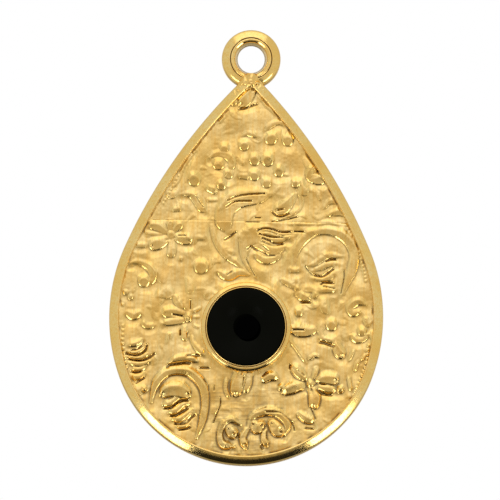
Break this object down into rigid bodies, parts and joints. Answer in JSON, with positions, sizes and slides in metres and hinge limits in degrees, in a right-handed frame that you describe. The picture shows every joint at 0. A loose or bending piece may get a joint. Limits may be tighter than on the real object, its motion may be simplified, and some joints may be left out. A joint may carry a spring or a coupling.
{
  "type": "evil eye pendant",
  "caption": "Drop-shaped hanging ornament: ring at the tip, polished rim, scroll relief field in two plates and a flat black eye in a round bezel.",
  "frame": {"origin": "centre of the ring's hole, half way through the pendant's thickness", "axes": "+Z from the eye to the ring, -Y out of the front face, +Y out of the flat back, +X to the viewer's right"},
  "size_m": [0.025, 0.0029, 0.04],
  "materials": {
    "plain_gold": "satin gold plate",
    "polished_gold": "polished gold plate",
    "satin_gold": "brushed gold plate",
    "adhesive": "matte",
    "black_glass": "gloss",
    "pupil_black": "gloss"
  },
  "bodies": {
    "root": {"back_plate": "plain_gold", "rim_frame": "polished_gold", "relief_plate_upper": "satin_gold", "relief_plate_lower": "satin_gold", "bail_loop": "polished_gold", "bail_neck": "satin_gold", "bezel_cup": "polished_gold", "adhesive_disc": "adhesive", "eye_iris": "black_glass", "eye_pupil": "pupil_black"}
  },
  "joints": []
}
